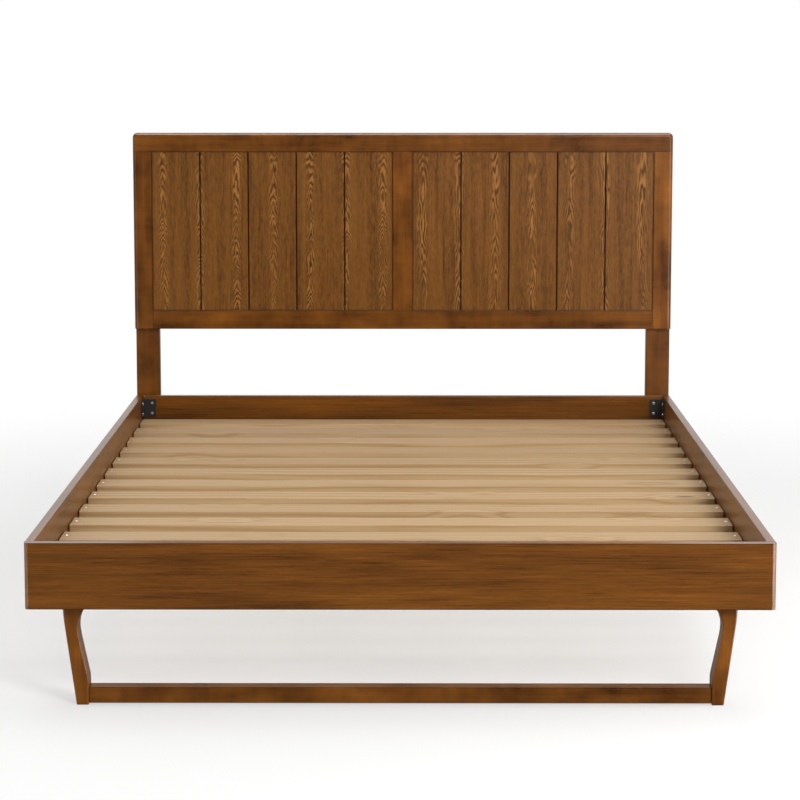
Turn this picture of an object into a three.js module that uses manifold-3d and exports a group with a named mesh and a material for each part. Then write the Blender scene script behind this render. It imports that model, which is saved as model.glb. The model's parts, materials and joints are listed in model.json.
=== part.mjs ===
// Queen-size wooden platform bed frame: a grooved-panel headboard on two posts, four rails, a slatted deck
// with a centre beam, and two splayed leg frames whose stretchers run just above the floor.
// Millimetres, +Z up. X runs across the bed, Y from the foot (-Y) to the headboard (+Y).
// The origin is on the floor under the middle of the bed. Left and right are as seen from the foot.
import * as THREE from "three";
import { mergeVertices } from "three/addons/utils/BufferGeometryUtils.js";
import Module from "manifold-3d";

const wasm = await Module();
wasm.setup();

// ---- Driving dimensions ----

const MATTRESS_WIDTH = 1524;
const MATTRESS_LENGTH = 2032;
const SIDE_ROOM = 24.5; // between the mattress and each side rail
const END_ROOM = 19.5; // between the mattress and the foot or head rail
const FIT = 0.3; // gap kept between pieces that touch

const RAIL_THICKNESS = 20; // side rails and head rail
const FOOT_RAIL_THICKNESS = 22;
const RAIL_HEIGHT = 145;
const RAIL_UNDERSIDE = 217; // height of the rails' bottom edges above the floor
const FOOT_RAIL_CORNER = 10; // radius of the foot rail's two outer vertical corners

const LEDGE_WIDTH = 25;
const LEDGE_HEIGHT = 35;
const SLAT_THICKNESS = 18;
const SLAT_WIDTH = 90;
const SLAT_COUNT = 13;
const SLAT_END_ROOM = 2; // between a slat's end and the side rail
const SLAT_EDGE_ROOM = 12; // between the first or last slat and the rail beside it

const LEG_INSET = 78.5; // from the bed's outer side to a leg's outer side at the top
const LEG_SPLAY = 27; // how far a leg's outer side comes in between the bend and the floor
const LEG_DEPTH = 48;
const LEG_FOOT_WIDTH = 26;
const LEG_NECK_WIDTH = 32;
const LEG_BEND_HEIGHT = 200; // where the outer side turns from upright to slanted
const LEG_BEND_REACH = 22; // how far the rounded bend runs along each side
const LEG_KNEE_HEIGHT = 58; // where the inner side turns from upright to slanted
const LEG_KNEE_REACH = 6;
const LEG_NECK_DROP = 12; // from the start of the bracket's curve down to the neck's corner
const LEG_NECK_REACH = 14;
const LEG_EDGE = 3; // rounding of a leg's edges
const BRACKET_RADIUS = 65; // concave curve from the leg into the bearer
const BEARER_LIFT = 19; // from the rails' bottom edges up to the bearer's underside
const BEARER_HEIGHT = 38;
const BRACKET_ARM = 16; // flat stretch of the leg's top between that curve and the bearer's end
const STRETCHER_LIFT = 3;
const STRETCHER_HEIGHT = 35;
const STRETCHER_DEPTH = 36;

const TENON_SHOULDER = 8; // wood left on each side of a leg frame's tenon
const STRETCHER_TENON_LENGTH = 16;
const BEARER_TENON_LENGTH = 24;

const HEADBOARD_UNDERSIDE = 567;
const HEADBOARD_HEIGHT = 588;
const HEADBOARD_DEPTH = 28;
const HEADBOARD_MEMBER = 56; // width of the headboard's rails and side stiles
const CENTRE_STILE_WIDTH = 60;
const HEADBOARD_ROUND = 11; // quarter-round along the front outer edges
const HEADBOARD_CORNER = 13; // radius of the two top corners, seen from the front
const PANEL_THICKNESS = 12;
const PANEL_RECESS = 4; // from the front of the rails and stiles back to the panel
const PANEL_TONGUE = 8; // how far a panel's edge goes into its groove
const GROOVE_DEPTH = 10;
const FRAME_TENON_LENGTH = 25;
const FRAME_TENON_SHOULDER = 10;
const PLANKS_PER_PANEL = 5; // the V-grooves divide each panel's face into this many planks
const V_GROOVE_WIDTH = 5;
const V_GROOVE_DEPTH = 3;

const POST_WIDTH = 70;
const POST_DEPTH = 30;
const POST_INSET = 1; // from the bed's outer side to a post's outer side
const POST_BOLT_RECESS = 6; // sinks the headboard bolts' heads into the posts
const POST_BOLT_RECESS_ROOM = 1; // round a bolt's head in its recess
const POST_TOP_DROP = 105; // from the headboard's top down to a post's top

const BEAM_WIDTH = 40;
const BEAM_HEIGHT = 45;
const CENTRE_LEG_SIDE = 45;
const PLATE_THICKNESS = 3;
const LEG_PLATE_LENGTH = 110;
const HANGER_LENGTH = 30;
const HANGER_EAR = 26;
const HANGER_EAR_TRIM = 3; // the ears stop this far short of the bearer's top and bottom

const CORNER_IRON_LEG = 40;
const CORNER_IRON_HEIGHT = 55;
const CORNER_IRON_LIFT = 5; // above the slats
const SCREW_HOLE = 2.5; // radius
const SCREW_HOLE_EDGE = 12; // from an iron's edge to a screw hole's centre

const BOLT_RADIUS = 4;
const BOLT_HEAD_RADIUS = 9;
const BOLT_HEAD_HEIGHT = 5.5;
const BOLT_FLANGE = 1.5;
const BOLT_CROWN_RADIUS = 7.2; // where the head's dome meets its flange
const BOLT_SHOULDER_RADIUS = 6.3;
const BOLT_SHOULDER_HEIGHT = 2.4; // above the flange
const BOLT_FLAT_RADIUS = 4.05; // the flat on top, round the socket
const BOLT_TIP = 1; // chamfer at the shank's end
const BOLT_SOCKET_RADIUS = 2.9;
const BOLT_SOCKET_DEPTH = 3.5;
const BOLT_REACH = 14; // how far a bolt goes into the rail it holds
const LEG_BOLT_INSET = 38; // from a leg's outer side at the top to its bolt
const BEARER_BOLT_X = 300;
const POST_BOLT_INSET = 45; // from the bed's outer side to the headboard bolts
const POST_BOLT_EDGE = 38; // from the rails' top and bottom edges to the headboard bolts

const LEVELER_EXTENSION = 6; // how far the levelling screw stands out of its insert at rest
const LEVELER_TRAVEL = 6; // how far it goes each way from there
const LEVELER_BORE_ROOM = 2; // above the stud when it is fully screwed in
const LEVELER_PAD_RADIUS = 18;
const LEVELER_PAD_HEIGHT = 8;
const LEVELER_PAD_CHAMFER = 1.5;
const LEVELER_SOCKET_DEPTH = 6;
const LEVELER_STUD_RADIUS = 4;
const LEVELER_STUD_LENGTH = 37; // above the hexagon
const LEVELER_HEX_RADIUS = 7.5;
const LEVELER_HEX_HEIGHT = 4;
const INSERT_RADIUS = 6;
const INSERT_LENGTH = 26;
const INSERT_FLANGE_RADIUS = 10;
const INSERT_FLANGE = 2;

// How finely curves are divided.
const BOLT_SIDES = 18;
const SCREW_HOLE_SIDES = 16;
const HEXAGON_SIDES = 6;
const ROD_SIDES = 24;
const PAD_SIDES = 40;
const CURVE_STEPS = 12;
const LEG_EDGE_STEPS = 3;
const HEADBOARD_STEPS = 8;

const OVERRUN = 1; // how far a cutting tool runs past the face it cuts, and a tenon into its own piece
const WELD = 1e-4; // vertices nearer than this are one vertex

// ---- Places worked out from them ----

const OUTER_HALF = MATTRESS_WIDTH / 2 + SIDE_ROOM + RAIL_THICKNESS;
const INNER_HALF = OUTER_HALF - RAIL_THICKNESS;
const INNER_LENGTH = MATTRESS_LENGTH + 2 * END_ROOM; // foot rail's back to head rail's front
const OVERALL_LENGTH = FOOT_RAIL_THICKNESS + INNER_LENGTH + RAIL_THICKNESS + POST_DEPTH;
const FOOT_RAIL_FRONT = -OVERALL_LENGTH / 2;
const FOOT_RAIL_BACK = FOOT_RAIL_FRONT + FOOT_RAIL_THICKNESS;
const HEAD_RAIL_FRONT = FOOT_RAIL_BACK + INNER_LENGTH;
const HEAD_RAIL_BACK = HEAD_RAIL_FRONT + RAIL_THICKNESS;
const RAIL_TOP = RAIL_UNDERSIDE + RAIL_HEIGHT;
const RAIL_MIDDLE = RAIL_UNDERSIDE + RAIL_HEIGHT / 2;
const BEARER_UNDERSIDE = RAIL_UNDERSIDE + BEARER_LIFT;
const BEARER_TOP = BEARER_UNDERSIDE + BEARER_HEIGHT;
const BEARER_MIDDLE = (BEARER_UNDERSIDE + BEARER_TOP) / 2;
const SLAT_UNDERSIDE = BEARER_TOP + FIT;
const SLAT_TOP = SLAT_UNDERSIDE + SLAT_THICKNESS;
const LEG_OUTER = OUTER_HALF - LEG_INSET;
const LEG_NECK = LEG_OUTER - LEG_NECK_WIDTH;
const LEG_ARM_END = LEG_NECK - BRACKET_RADIUS - BRACKET_ARM;
const LEG_FOOT_OUTER = LEG_OUTER - LEG_SPLAY;
const LEG_FOOT_INNER = LEG_FOOT_OUTER - LEG_FOOT_WIDTH;
const LEG_BOLT_X = LEG_OUTER - LEG_BOLT_INSET;
const BEAM_TOP = SLAT_UNDERSIDE - FIT;
const BEAM_UNDERSIDE = BEAM_TOP - BEAM_HEIGHT;
const BEAM_FRONT = FOOT_RAIL_BACK + FIT + LEG_DEPTH + FIT;
const BEAM_BACK = HEAD_RAIL_FRONT - FIT - LEG_DEPTH - FIT;
const BEAM_MIDDLE = (BEAM_FRONT + BEAM_BACK) / 2;
const PANEL_OPENING_WIDTH = OUTER_HALF - HEADBOARD_MEMBER - CENTRE_STILE_WIDTH / 2;
const PANEL_OPENING_HEIGHT = HEADBOARD_HEIGHT - 2 * HEADBOARD_MEMBER;
const POST_BOLT_X = OUTER_HALF - POST_BOLT_INSET;
const POST_BOLT_HEIGHTS = [RAIL_UNDERSIDE + POST_BOLT_EDGE, RAIL_TOP - POST_BOLT_EDGE];
const LEVELER_HEX_TOP = LEVELER_PAD_HEIGHT + FIT + LEVELER_HEX_HEIGHT;
const CENTRE_LEG_UNDERSIDE = LEVELER_HEX_TOP + FIT + LEVELER_EXTENSION + INSERT_FLANGE;

// ---- Materials ----

const finish = (color, roughness, metalness = 0) =>
  new THREE.MeshStandardMaterial({ color, roughness, metalness });
const walnutVeneer = finish(0x6e4218, 0.45);
const walnutSolid = finish(0x7a4a1c, 0.42);
const grooveVeneer = finish(0x74491f, 0.5);
const paleWood = finish(0xc9a672, 0.7);
const blackSteel = finish(0x1c1c1e, 0.5, 0.8);
const zincSteel = finish(0xa7a9ab, 0.35, 1);
const blackPlastic = finish(0x18181a, 0.6);

// ---- Helpers ----

function solidOf(geometry) {
  const bare = new THREE.BufferGeometry();
  bare.setAttribute("position", geometry.getAttribute("position"));
  bare.setIndex(geometry.index);
  const merged = mergeVertices(bare, WELD);
  return new wasm.Manifold(
    new wasm.Mesh({
      numProp: 3,
      vertProperties: merged.attributes.position.array,
      triVerts: new Uint32Array(merged.index.array),
    }),
  );
}

function geometryOf(solid) {
  const { vertProperties, triVerts } = solid.getMesh();
  const shared = new THREE.BufferGeometry();
  shared.setAttribute("position", new THREE.BufferAttribute(vertProperties, 3));
  shared.setIndex(new THREE.BufferAttribute(triVerts, 1));
  const flat = shared.toNonIndexed();
  flat.computeVertexNormals();
  return flat;
}

function cut(geometry, tools) {
  return geometryOf(tools.reduce((solid, tool) => solid.subtract(solidOf(tool)), solidOf(geometry)));
}

function join(geometry, additions) {
  return geometryOf(additions.reduce((solid, addition) => solid.add(solidOf(addition)), solidOf(geometry)));
}

// A box between two values on each axis.
function block([x0, x1], [y0, y1], [z0, z1]) {
  const box = new THREE.BoxGeometry(x1 - x0, y1 - y0, z1 - z0);
  return box.translate((x0 + x1) / 2, (y0 + y1) / 2, (z0 + z1) / 2);
}

// Rods between two values on one axis.
function rodAlongY(radius, x, [y0, y1], z, sides) {
  return new THREE.CylinderGeometry(radius, radius, y1 - y0, sides).translate(x, (y0 + y1) / 2, z);
}

function rodAlongX(radius, [x0, x1], y, z, sides) {
  const rod = new THREE.CylinderGeometry(radius, radius, x1 - x0, sides).rotateZ(Math.PI / 2);
  return rod.translate((x0 + x1) / 2, y, z);
}

function rodAlongZ(radius, [z0, z1], sides = ROD_SIDES) {
  const rod = new THREE.CylinderGeometry(radius, radius, z1 - z0, sides).rotateX(Math.PI / 2);
  return rod.translate(0, 0, (z0 + z1) / 2);
}

const THROUGH_PLATE = [-OVERRUN, PLATE_THICKNESS + OVERRUN];
const screwHoleAlongY = (x, z) => rodAlongY(SCREW_HOLE, x, THROUGH_PLATE, z, SCREW_HOLE_SIDES);

// An outline drawn in X and Z, given a depth from y = 0 to y = depth.
function plateAlongY(outline, depth, options = {}) {
  const settings = { depth, bevelEnabled: false, curveSegments: CURVE_STEPS, ...options };
  const plate = new THREE.ExtrudeGeometry(outline, settings);
  return plate.rotateX(Math.PI / 2).translate(0, depth, 0);
}

function part(name, geometry, material, position = [0, 0, 0], turn = 0) {
  const mesh = new THREE.Mesh(geometry, material);
  mesh.name = name;
  mesh.position.set(...position);
  mesh.rotation.z = turn;
  return mesh;
}

const SIDES = [
  ["left", -1],
  ["right", 1],
];

// ---- Bolts ----

// A flanged button-head bolt. Its head's seat is at y = 0 and its shank runs to y = length.
function boltGeometry(length) {
  const profile = [
    new THREE.Vector2(0, -BOLT_HEAD_HEIGHT),
    new THREE.Vector2(BOLT_FLAT_RADIUS, -BOLT_HEAD_HEIGHT),
    new THREE.Vector2(BOLT_SHOULDER_RADIUS, -BOLT_FLANGE - BOLT_SHOULDER_HEIGHT),
    new THREE.Vector2(BOLT_CROWN_RADIUS, -BOLT_FLANGE),
    new THREE.Vector2(BOLT_HEAD_RADIUS, -BOLT_FLANGE),
    new THREE.Vector2(BOLT_HEAD_RADIUS, 0),
    new THREE.Vector2(BOLT_RADIUS, 0),
    new THREE.Vector2(BOLT_RADIUS, length - BOLT_TIP),
    new THREE.Vector2(BOLT_RADIUS - BOLT_TIP, length),
    new THREE.Vector2(0, length),
  ];
  const turned = new THREE.LatheGeometry(profile, BOLT_SIDES);
  const depth = [-BOLT_HEAD_HEIGHT - OVERRUN, -BOLT_HEAD_HEIGHT + BOLT_SOCKET_DEPTH];
  return cut(turned, [rodAlongY(BOLT_SOCKET_RADIUS, 0, depth, 0, HEXAGON_SIDES)]);
}

const boltHole = (x, span, z) => rodAlongY(BOLT_RADIUS + FIT, x, span, z, BOLT_SIDES);

// ---- Rails ----

function footRail() {
  const half = OUTER_HALF;
  const round = FOOT_RAIL_CORNER;
  const outline = new THREE.Shape();
  outline.moveTo(-half, FOOT_RAIL_THICKNESS);
  outline.lineTo(-half, round);
  outline.absarc(-half + round, round, round, Math.PI, 1.5 * Math.PI);
  outline.lineTo(half - round, 0);
  outline.absarc(half - round, round, round, 1.5 * Math.PI, 2 * Math.PI);
  outline.lineTo(half, FOOT_RAIL_THICKNESS);
  const settings = { depth: RAIL_HEIGHT, bevelEnabled: false, curveSegments: CURVE_STEPS };
  const rail = new THREE.ExtrudeGeometry(outline, settings);
  const drilled = [FOOT_RAIL_THICKNESS - BOLT_REACH - OVERRUN, FOOT_RAIL_THICKNESS + OVERRUN];
  const holes = legFrameBoltPlaces().map((x) => boltHole(x, drilled, BEARER_MIDDLE - RAIL_UNDERSIDE));
  return part("foot_rail", cut(rail, holes), walnutVeneer, [0, FOOT_RAIL_FRONT, RAIL_UNDERSIDE]);
}

function sideRail(side, sign) {
  const length = HEAD_RAIL_BACK - FOOT_RAIL_BACK - 2 * FIT;
  const rail = new THREE.BoxGeometry(RAIL_THICKNESS, length, RAIL_HEIGHT);
  const x = sign * (OUTER_HALF - RAIL_THICKNESS / 2);
  const y = (FOOT_RAIL_BACK + HEAD_RAIL_BACK) / 2;
  return part(`${side}_side_rail`, rail, walnutVeneer, [x, y, RAIL_MIDDLE]);
}

function headRail() {
  const half = RAIL_THICKNESS / 2;
  const rail = new THREE.BoxGeometry(2 * (INNER_HALF - FIT), RAIL_THICKNESS - FIT, RAIL_HEIGHT);
  rail.translate(0, -FIT / 2, 0);
  const fromFront = legFrameBoltPlaces().map((x) =>
    boltHole(x, [-half - OVERRUN, -half + BOLT_REACH + OVERRUN], BEARER_MIDDLE - RAIL_MIDDLE),
  );
  const fromBack = SIDES.flatMap(([, sign]) =>
    POST_BOLT_HEIGHTS.map((z) =>
      boltHole(sign * POST_BOLT_X, [half - BOLT_REACH - OVERRUN, half + OVERRUN], z - RAIL_MIDDLE),
    ),
  );
  const y = (HEAD_RAIL_FRONT + HEAD_RAIL_BACK) / 2;
  return part("head_rail", cut(rail, [...fromFront, ...fromBack]), walnutVeneer, [0, y, RAIL_MIDDLE]);
}

// ---- Deck ----

function slatLedge(side, sign) {
  const ledge = new THREE.BoxGeometry(LEDGE_WIDTH, INNER_LENGTH - 2 * FIT, LEDGE_HEIGHT);
  const x = sign * (INNER_HALF - FIT - LEDGE_WIDTH / 2);
  const z = SLAT_UNDERSIDE - FIT - LEDGE_HEIGHT / 2;
  return part(`${side}_slat_ledge`, ledge, walnutSolid, [x, (FOOT_RAIL_BACK + HEAD_RAIL_FRONT) / 2, z]);
}

function slats() {
  const slat = new THREE.BoxGeometry(2 * (INNER_HALF - SLAT_END_ROOM), SLAT_WIDTH, SLAT_THICKNESS);
  const first = FOOT_RAIL_BACK + SLAT_EDGE_ROOM + SLAT_WIDTH / 2;
  const last = HEAD_RAIL_FRONT - SLAT_EDGE_ROOM - SLAT_WIDTH / 2;
  const pitch = (last - first) / (SLAT_COUNT - 1);
  return Array.from({ length: SLAT_COUNT }, (_, i) =>
    part(`slat_${String(i + 1).padStart(2, "0")}`, slat, paleWood, [
      0,
      first + i * pitch,
      SLAT_UNDERSIDE + SLAT_THICKNESS / 2,
    ]),
  );
}

// ---- Leg frames ----

function legFrameBoltPlaces() {
  return [-LEG_BOLT_X, -BEARER_BOLT_X, BEARER_BOLT_X, LEG_BOLT_X];
}

// The right-hand leg as seen from the foot: x outwards from the bed's middle, z up from the floor.
function legOutline() {
  const lean = LEG_SPLAY / LEG_BEND_HEIGHT;
  const curveStart = BEARER_UNDERSIDE - BRACKET_RADIUS;
  const neckHeight = curveStart - LEG_NECK_DROP;
  const innerLean = (LEG_NECK - LEG_FOOT_INNER) / (neckHeight - LEG_KNEE_HEIGHT);
  const outline = new THREE.Shape();
  outline.moveTo(LEG_FOOT_INNER, 0);
  outline.lineTo(LEG_FOOT_OUTER, 0);
  outline.lineTo(LEG_OUTER - lean * LEG_BEND_REACH, LEG_BEND_HEIGHT - LEG_BEND_REACH);
  outline.quadraticCurveTo(LEG_OUTER, LEG_BEND_HEIGHT, LEG_OUTER, LEG_BEND_HEIGHT + LEG_BEND_REACH);
  outline.lineTo(LEG_OUTER, BEARER_TOP);
  outline.lineTo(LEG_ARM_END, BEARER_TOP);
  outline.lineTo(LEG_ARM_END, BEARER_UNDERSIDE);
  outline.lineTo(LEG_NECK - BRACKET_RADIUS, BEARER_UNDERSIDE);
  outline.absarc(LEG_NECK - BRACKET_RADIUS, curveStart, BRACKET_RADIUS, Math.PI / 2, 0, true);
  outline.quadraticCurveTo(
    LEG_NECK,
    neckHeight,
    LEG_NECK - innerLean * LEG_NECK_REACH,
    neckHeight - LEG_NECK_REACH,
  );
  outline.lineTo(LEG_FOOT_INNER + innerLean * LEG_KNEE_REACH, LEG_KNEE_HEIGHT + LEG_KNEE_REACH);
  outline.quadraticCurveTo(LEG_FOOT_INNER, LEG_KNEE_HEIGHT, LEG_FOOT_INNER, LEG_KNEE_HEIGHT - LEG_KNEE_REACH);
  return outline;
}

// Tenon sections, shared by each tenon and its mortise: the mortise is FIT larger all round.
function stretcherTenon(x0, x1, room) {
  const middle = STRETCHER_LIFT + STRETCHER_HEIGHT / 2;
  const halfDepth = STRETCHER_DEPTH / 2 - TENON_SHOULDER + room;
  const halfHeight = STRETCHER_HEIGHT / 2 - TENON_SHOULDER + room;
  return block(
    [x0, x1],
    [LEG_DEPTH / 2 - halfDepth, LEG_DEPTH / 2 + halfDepth],
    [middle - halfHeight, middle + halfHeight],
  );
}

function bearerTenon(x0, x1, room) {
  const halfDepth = LEG_DEPTH / 2 - TENON_SHOULDER + room;
  const halfHeight = BEARER_HEIGHT / 2 - TENON_SHOULDER + room;
  return block(
    [x0, x1],
    [LEG_DEPTH / 2 - halfDepth, LEG_DEPTH / 2 + halfDepth],
    [BEARER_MIDDLE - halfHeight, BEARER_MIDDLE + halfHeight],
  );
}

function legGeometry() {
  const leg = plateAlongY(legOutline(), LEG_DEPTH - 2 * LEG_EDGE, {
    bevelEnabled: true,
    bevelThickness: LEG_EDGE,
    bevelSize: LEG_EDGE,
    bevelOffset: -LEG_EDGE,
    bevelSegments: LEG_EDGE_STEPS,
  }).translate(0, LEG_EDGE, 0);
  return cut(leg, [
    stretcherTenon(LEG_FOOT_INNER - OVERRUN, LEG_FOOT_INNER + STRETCHER_TENON_LENGTH + FIT, FIT),
    bearerTenon(LEG_ARM_END - OVERRUN, LEG_ARM_END + BEARER_TENON_LENGTH + FIT, FIT),
    boltHole(LEG_BOLT_X, [-OVERRUN, LEG_DEPTH + OVERRUN], BEARER_MIDDLE),
  ]);
}

function stretcherGeometry() {
  const half = LEG_FOOT_INNER - FIT;
  const depth = [(LEG_DEPTH - STRETCHER_DEPTH) / 2, (LEG_DEPTH + STRETCHER_DEPTH) / 2];
  const bar = block([-half, half], depth, [STRETCHER_LIFT, STRETCHER_LIFT + STRETCHER_HEIGHT]);
  const reach = LEG_FOOT_INNER + STRETCHER_TENON_LENGTH;
  return join(bar, [stretcherTenon(-reach, reach, 0)]);
}

function bearerGeometry() {
  const half = LEG_ARM_END - FIT;
  const bar = block([-half, half], [0, LEG_DEPTH], [BEARER_UNDERSIDE, BEARER_TOP]);
  const reach = LEG_ARM_END + BEARER_TENON_LENGTH;
  const whole = join(bar, [bearerTenon(-reach, reach, 0)]);
  const through = [-OVERRUN, LEG_DEPTH + OVERRUN];
  return cut(
    whole,
    [-1, 1].map((sign) => boltHole(sign * BEARER_BOLT_X, through, BEARER_MIDDLE)),
  );
}

// One leg frame. Its y = 0 face lies against the rail, and half a turn suits it to the other end of the bed.
function legFrame(end, y, turn) {
  const group = new THREE.Group();
  group.position.y = y;
  group.rotation.z = turn;
  const leg = legGeometry();
  const rightIsPlusX = turn === 0;
  for (const [side, sign] of SIDES) {
    const onPlusX = rightIsPlusX ? sign > 0 : sign < 0;
    const position = onPlusX ? [0, 0, 0] : [0, LEG_DEPTH, 0];
    group.add(part(`${end}_${side}_leg`, leg, walnutSolid, position, onPlusX ? 0 : Math.PI));
  }
  group.add(part(`${end}_stretcher`, stretcherGeometry(), walnutSolid));
  group.add(part(`${end}_bearer`, bearerGeometry(), walnutSolid));
  const bolt = boltGeometry(LEG_DEPTH + BOLT_REACH);
  legFrameBoltPlaces().forEach((x, i) => {
    const place = [x, LEG_DEPTH + FIT, BEARER_MIDDLE];
    group.add(part(`${end}_leg_bolt_${i + 1}`, bolt, zincSteel, place, Math.PI));
  });
  return group;
}

// ---- Centre support ----

function centreBeam() {
  const beam = block([-BEAM_WIDTH / 2, BEAM_WIDTH / 2], [BEAM_FRONT, BEAM_BACK], [BEAM_UNDERSIDE, BEAM_TOP]);
  return part("centre_beam", beam, paleWood);
}

// A folded steel hanger: a channel under the beam's end with an ear on each side, screwed to the bearer.
function beamHanger(name, y, turn) {
  const inner = BEAM_WIDTH / 2 + FIT;
  const outer = inner + PLATE_THICKNESS;
  const seat = BEAM_UNDERSIDE - FIT - PLATE_THICKNESS;
  const earTop = BEARER_TOP - HANGER_EAR_TRIM;
  const floor = block([-outer, outer], [0, HANGER_LENGTH], [seat, seat + PLATE_THICKNESS]);
  const pieces = SIDES.flatMap(([, sign]) => {
    const cheek = [sign * inner, sign * outer].sort((a, b) => a - b);
    const ear = [sign * inner, sign * (outer + HANGER_EAR)].sort((a, b) => a - b);
    return [
      block(cheek, [0, HANGER_LENGTH], [seat, earTop]),
      block(ear, [0, PLATE_THICKNESS], [seat, earTop]),
    ];
  });
  const holes = SIDES.flatMap(([, sign]) =>
    [seat + SCREW_HOLE_EDGE, earTop - SCREW_HOLE_EDGE].map((z) =>
      screwHoleAlongY(sign * (outer + HANGER_EAR / 2), z),
    ),
  );
  return part(name, cut(join(floor, pieces), holes), blackSteel, [0, y, 0], turn);
}

function centreLegPlate() {
  const halfX = BEAM_WIDTH / 2;
  const halfY = LEG_PLATE_LENGTH / 2;
  const top = BEAM_UNDERSIDE - FIT;
  const plate = block([-halfX, halfX], [-halfY, halfY], [top - PLATE_THICKNESS, top]);
  const holes = [-1, 1].flatMap((x) =>
    [-1, 1].map((y) =>
      rodAlongZ(SCREW_HOLE, [top - PLATE_THICKNESS - OVERRUN, top + OVERRUN], SCREW_HOLE_SIDES).translate(
        x * (halfX - SCREW_HOLE_EDGE),
        y * (halfY - SCREW_HOLE_EDGE),
        0,
      ),
    ),
  );
  return part("centre_leg_plate", cut(plate, holes), blackSteel, [0, BEAM_MIDDLE, 0]);
}

function centreLeg() {
  const half = CENTRE_LEG_SIDE / 2;
  const top = BEAM_UNDERSIDE - 2 * FIT - PLATE_THICKNESS;
  const leg = block([-half, half], [-half, half], [CENTRE_LEG_UNDERSIDE + FIT, top]);
  const boreTop = LEVELER_HEX_TOP + LEVELER_STUD_LENGTH + LEVELER_TRAVEL + LEVELER_BORE_ROOM;
  const start = CENTRE_LEG_UNDERSIDE - OVERRUN;
  const insertBore = rodAlongZ(INSERT_RADIUS + FIT, [start, CENTRE_LEG_UNDERSIDE + INSERT_LENGTH + FIT]);
  const studBore = rodAlongZ(LEVELER_STUD_RADIUS + 2 * FIT, [start, boreTop]);
  return part("centre_leg", cut(leg, [insertBore, studBore]), walnutSolid, [0, BEAM_MIDDLE, 0]);
}

// The threaded sleeve in the centre leg's foot.
function levelerInsert() {
  const under = CENTRE_LEG_UNDERSIDE - INSERT_FLANGE;
  const flange = rodAlongZ(INSERT_FLANGE_RADIUS, [under, CENTRE_LEG_UNDERSIDE]);
  const top = CENTRE_LEG_UNDERSIDE + INSERT_LENGTH;
  const sleeve = rodAlongZ(INSERT_RADIUS, [under, top]);
  const bore = rodAlongZ(LEVELER_STUD_RADIUS + FIT, [under - OVERRUN, top + OVERRUN]);
  return part("leveler_insert", cut(join(flange, [sleeve]), [bore]), zincSteel, [0, BEAM_MIDDLE, 0]);
}

// The levelling screw: a stud, a hexagon for the spanner, and a round end that turns in the pad's socket.
function levelerScrew() {
  const end = LEVELER_PAD_HEIGHT - LEVELER_SOCKET_DEPTH + FIT;
  const hexSpan = [LEVELER_HEX_TOP - LEVELER_HEX_HEIGHT, LEVELER_HEX_TOP];
  const hexagon = rodAlongZ(LEVELER_HEX_RADIUS, hexSpan, HEXAGON_SIDES);
  const stud = rodAlongZ(LEVELER_STUD_RADIUS, [end, LEVELER_HEX_TOP + LEVELER_STUD_LENGTH]);
  return part("leveler_screw", join(hexagon, [stud]), zincSteel, [0, BEAM_MIDDLE, 0]);
}

function levelerPad() {
  const profile = [
    new THREE.Vector2(0, 0),
    new THREE.Vector2(LEVELER_PAD_RADIUS - LEVELER_PAD_CHAMFER, 0),
    new THREE.Vector2(LEVELER_PAD_RADIUS, LEVELER_PAD_CHAMFER),
    new THREE.Vector2(LEVELER_PAD_RADIUS, LEVELER_PAD_HEIGHT / 2),
    new THREE.Vector2(LEVELER_HEX_RADIUS + LEVELER_PAD_CHAMFER, LEVELER_PAD_HEIGHT),
    new THREE.Vector2(0, LEVELER_PAD_HEIGHT),
  ];
  const pad = new THREE.LatheGeometry(profile, PAD_SIDES).rotateX(Math.PI / 2);
  const socketFloor = LEVELER_PAD_HEIGHT - LEVELER_SOCKET_DEPTH;
  const socket = rodAlongZ(LEVELER_STUD_RADIUS + FIT, [socketFloor, LEVELER_PAD_HEIGHT + OVERRUN]);
  return part("leveler_pad", cut(pad, [socket]), blackPlastic, [0, BEAM_MIDDLE, 0]);
}

// ---- Corner irons ----

// A steel angle in the corner between a side rail and an end rail, its corner at the group's origin.
function cornerIron(name, x, y, turn) {
  const outline = new THREE.Shape();
  outline.moveTo(0, 0);
  outline.lineTo(CORNER_IRON_LEG, 0);
  outline.lineTo(CORNER_IRON_LEG, PLATE_THICKNESS);
  outline.lineTo(PLATE_THICKNESS, PLATE_THICKNESS);
  outline.lineTo(PLATE_THICKNESS, CORNER_IRON_LEG);
  outline.lineTo(0, CORNER_IRON_LEG);
  const iron = new THREE.ExtrudeGeometry(outline, { depth: CORNER_IRON_HEIGHT, bevelEnabled: false });
  const across = CORNER_IRON_LEG - SCREW_HOLE_EDGE;
  const holes = [SCREW_HOLE_EDGE, CORNER_IRON_HEIGHT - SCREW_HOLE_EDGE].flatMap((z) => [
    screwHoleAlongY(across, z),
    rodAlongX(SCREW_HOLE, THROUGH_PLATE, across, z, SCREW_HOLE_SIDES),
  ]);
  return part(name, cut(iron, holes), blackSteel, [x, y, SLAT_TOP + CORNER_IRON_LIFT], turn);
}

function cornerIrons() {
  const x = INNER_HALF - FIT;
  const foot = FOOT_RAIL_BACK + FIT;
  const head = HEAD_RAIL_FRONT - FIT;
  return [
    cornerIron("foot_left_corner_iron", -x, foot, 0),
    cornerIron("foot_right_corner_iron", x, foot, Math.PI / 2),
    cornerIron("head_right_corner_iron", x, head, Math.PI),
    cornerIron("head_left_corner_iron", -x, head, -Math.PI / 2),
  ];
}

// ---- Headboard ----

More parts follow.
